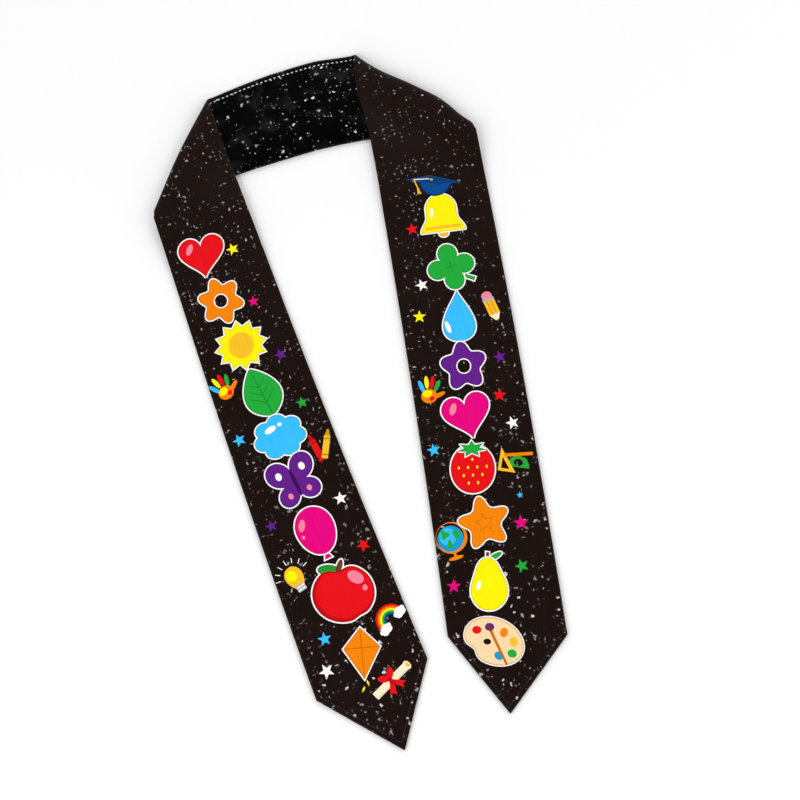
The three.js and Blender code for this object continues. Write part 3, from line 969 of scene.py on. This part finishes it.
# Painted sheen: the warm black ground goes darker and lighter in slow clouds, standing in for satin's uneven sheen.
ground = blended(tree, sheen_cloud, darker(FACE_GROUND, 0.8), darker(FACE_GROUND, 1.15))
dotted = blended(tree, speckle, ground, ink(215, 212, 210))
print_colour = add_node(tree, "ShaderNodeAttribute", {"attribute_name": "print"}).outputs
colour = blended(tree, print_colour["Alpha"], dotted, print_colour["Color"])
shade = calculate(tree, "MULTIPLY_ADD", streak, 0.16, 0.92)
tree.links.new(blended(tree, 1.0, colour, shade, "MULTIPLY"), shader.inputs["Base Color"])
tree.links.new(calculate(tree, "MULTIPLY_ADD", streak, 0.12, 0.32), shader.inputs["Roughness"])
shader.inputs["Specular IOR Level"].default_value = 0.07
shader.inputs["Sheen Weight"].default_value = 0.01
shader.inputs["Sheen Roughness"].default_value = 0.4

pattern, outward, faces, top_print = band_mesh(FACE_EDGE, [outline for _, outline in PRINT])
face_points = laid(pattern[:, 0], pattern[:, 1], outward)
face_cloth = add_piece("face_cloth", face_points, [face[::-1] for face in faces], face_finish)
add_pattern_map(face_cloth, pattern)
add_wall(face_cloth, FACE_WALL)
bare = (0, 0, 0, 0)
layer_inks = np.array([bare] + [bare if colour is GROUND else (*colour, 1) for colour, _ in PRINT])
corner_inks = np.repeat(layer_inks[top_print], [len(face) for face in faces], axis=0)
print_layer = face_cloth.data.color_attributes.new("print", "FLOAT_COLOR", "CORNER")
print_layer.data.foreach_set("color", corner_inks.astype(np.float32).ravel())
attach(face_cloth, "root")
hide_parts("stole_face")

# The lining is plain black satin, closely woven and shinier than the face. It is cut a little smaller, and its
# turned edge meets the face's seam just inside the band's edge.
LINING_EDGE = ((3.6, -1.15), (2.6, -1.13), (2.0, -1.05), (1.68, -0.9), (1.6, -0.75), (1.8, -0.62), (2.6, -0.58))
LINING_WALL = 0.0004
lining_finish, tree, shader = new_finish("lining_satin")
pattern_map, streak, sheen_cloud = weave(tree, shader, relief=0.00003)
big_dots = dots(tree, pattern_map, Spacing=7.6, Size=0.17, Share=0.24, Length=1.1, Brightness=1.7)
small_dots = dots(tree, pattern_map, Spacing=3.0, Size=0.19, Share=0.16, Length=1.3)
# Painted sheen: slow clouds lift the black ground a little, and narrow stretched streaks turn it grey, as light
# caught on creases.
ground = blended(tree, calculate(tree, "POWER", sheen_cloud, 3.0), ink(0, 0, 0), ink(14, 14, 13))
painted_crease_sheen = noise(tree, calculate_vector(tree, "MULTIPLY", pattern_map, (48, 52, 0)), 1.0, 4.0)
ground = blended(tree, ranged(tree, painted_crease_sheen, 0.52, 0.85, 0.0, 0.4), ground, ink(54, 54, 55))
dotted = blended(tree, calculate(tree, "MAXIMUM", big_dots, small_dots), ground, ink(240, 240, 240))
tree.links.new(dotted, shader.inputs["Base Color"])
tree.links.new(calculate(tree, "MULTIPLY_ADD", streak, 0.12, 0.27), shader.inputs["Roughness"])
shader.inputs["Specular IOR Level"].default_value = 0.03

pattern, outward, faces, _ = band_mesh(LINING_EDGE, [])
lining_points = laid(pattern[:, 0], pattern[:, 1], outward)
lining_cloth = add_piece("lining_cloth", lining_points, faces, lining_finish)
add_pattern_map(lining_cloth, pattern)
add_wall(lining_cloth, LINING_WALL)
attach(lining_cloth, "root")
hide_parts("stole_lining")

# One row of white thread runs just inside the neck's upper edge, where the opening left for turning the band was
# closed. Its stitches are short fat beads of thread, sunk a little into the lining.
NECK_STITCH = {"length": 2.3, "width": 1.25, "pitch": 4.2, "inside": 5.4, "sunk": 0.12}
ROW_SHORT_LEFT, ROW_SHORT_RIGHT = 10, 12
STITCH_ROUND, STITCH_RINGS = 6, 5
BLUNTNESS = 0.92


def stitch_mesh(middles, headings, outward, size):
    """Stitches as rounded beads: rings along the heading, whose radius is the root of 1 less the distance squared,
    with their middle on the flat pattern. Their rise over the cloth follows the laid band."""
    share = np.linspace(-1, 1, STITCH_RINGS)
    thick = np.sqrt(np.clip(1 - share**2 * BLUNTNESS, 0, 1))
    angle = np.arange(STITCH_ROUND) / STITCH_ROUND * 2 * math.pi
    run = share[:, None] * size["length"] / 2 + 0 * angle
    side = thick[:, None] * np.cos(angle) * size["width"] / 2
    rise = thick[:, None] * np.sin(angle) * size["width"] / 2 - size["sunk"]
    ahead = headings[:, None, None]
    aside = np.stack([-headings[:, 1], headings[:, 0]], -1)[:, None, None]
    flat = middles[:, None, None] + run[..., None] * ahead + side[..., None] * aside
    lift = np.broadcast_to(outward + np.sign(outward) * rise, flat.shape[:3])
    points = laid(flat[..., 0].ravel(), flat[..., 1].ravel(), lift.ravel())
    per_stitch = STITCH_ROUND * STITCH_RINGS
    ring = np.arange(STITCH_RINGS - 1)[:, None] * STITCH_ROUND
    first, second = ring + np.arange(STITCH_ROUND), ring + (np.arange(STITCH_ROUND) + 1) % STITCH_ROUND
    wall = np.stack([first, second, second + STITCH_ROUND, first + STITCH_ROUND], -1).reshape(-1, 4)
    ends = [tuple(range(STITCH_ROUND))[::-1], tuple(range(per_stitch - STITCH_ROUND, per_stitch))]
    one = [tuple(face) for face in wall.tolist()] + ends
    turned = one if outward > 0 else [face[::-1] for face in one]
    return points, [tuple(i + n * per_stitch for i in face) for n in range(len(middles)) for face in turned]


def thread_finish(name, colour, roughness):
    """Twisted sewing thread: its own colour with fine slanting plies, by a wave and a noise across its place."""
    finish, tree, shader = new_finish(name)
    place = add_node(tree, "ShaderNodeTexCoord").outputs["Object"]
    inputs = {"Vector": place, "Scale": 900.0, "Distortion": 1.5}
    plies = add_node(tree, "ShaderNodeTexWave", {"bands_direction": "DIAGONAL"}, inputs).outputs["Fac"]
    worn = add_node(tree, "ShaderNodeTexNoise", None, {"Vector": place, "Scale": 700.0, "Detail": 2.0}).outputs[0]
    share = calculate(tree, "MULTIPLY_ADD", plies, 0.5, calculate(tree, "MULTIPLY", worn, 0.4))
    tree.links.new(blended(tree, share, darker(colour, 0.6), colour), shader.inputs["Base Color"])
    bump = add_node(tree, "ShaderNodeBump", None, {"Height": plies, "Strength": 0.4, "Distance": 0.0001})
    tree.links.new(bump.outputs[0], shader.inputs["Normal"])
    shader.inputs["Roughness"].default_value = roughness
    return finish


def add_stitches(name, middles, headings, outward, size, finish, cloth_slot):
    """A row of stitches as one piece of the stole."""
    points, faces = stitch_mesh(middles, headings, outward, size)
    piece = add_piece(name, points, faces, finish)
    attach(piece, "root")
    return piece


along = np.arange(ROW_SHORT_LEFT - HALF_NECK, HALF_NECK - ROW_SHORT_RIGHT, NECK_STITCH["pitch"])
width = np.where(along < 0, width_at(LEGS[-1], -along), width_at(LEGS[1], along))
neck_row = np.stack([along, width / 2 - NECK_STITCH["inside"]], -1)
neck_heading = np.gradient(neck_row, axis=0)
neck_heading /= np.linalg.norm(neck_heading, axis=1, keepdims=True)
white_thread = thread_finish("white_thread", ink(252, 252, 252), 0.6)
neck_stitches = add_stitches(
    "neck_stitches", neck_row, neck_heading, -OUTER_HEIGHT, NECK_STITCH, white_thread, "lining_satin"
)

# Each pointed end is topstitched in black thread, a few millimetres inside its two slanting edges, which holds the
# seam flat.
END_STITCH = {"length": 2.3, "width": 0.5, "pitch": 3.1, "inside": 4.2, "sunk": 0.1}


def end_rows(side):
    """Stitch middles and headings on the flat pattern, at even steps along both slanting edges of one end."""
    row = inset(OUTLINE, END_STITCH["inside"])
    first = EDGE_STEPS if side > 0 else 3 * EDGE_STEPS + 2 * CUT_STEPS
    tip = row[first + CUT_STEPS]
    middles, headings = [], []
    for corner in (row[first], row[first + 2 * CUT_STEPS]):
        length = np.linalg.norm(tip - corner)
        heading = (tip - corner) / length
        steps = np.arange(END_STITCH["pitch"] / 2, length - 1, END_STITCH["pitch"])
        middles.append(corner + steps[:, None] * heading)
        headings.append(np.broadcast_to(heading, (len(steps), 2)))
    return np.concatenate(middles), np.concatenate(headings)


black_thread = thread_finish("black_thread", ink(64, 60, 58), 0.45)
end_stitches = [
    add_stitches(name, *end_rows(side), OUTER_HEIGHT, END_STITCH, black_thread, "printed_satin")
    for name, side in (("left_end_stitches", -1), ("right_end_stitches", 1))
]

# Both layers are cut as one strip each, about 100 mm wide and 1.41 m long from tip to tip, and the lining a little
# smaller all round. They lie on each other, folded at the shoulders.
LINING_MARGIN = 1.6


def flat_area(margin):
    """The area in square metres inside the band's outline, less a margin all round: half the sum of the cross
    products of its points in turn."""
    x, y = inset(OUTLINE, margin).T
    return 0.5 * float(x @ np.roll(y, -1) - y @ np.roll(x, -1)) * MM**2


flat_area(0)
flat_area(LINING_MARGIN)
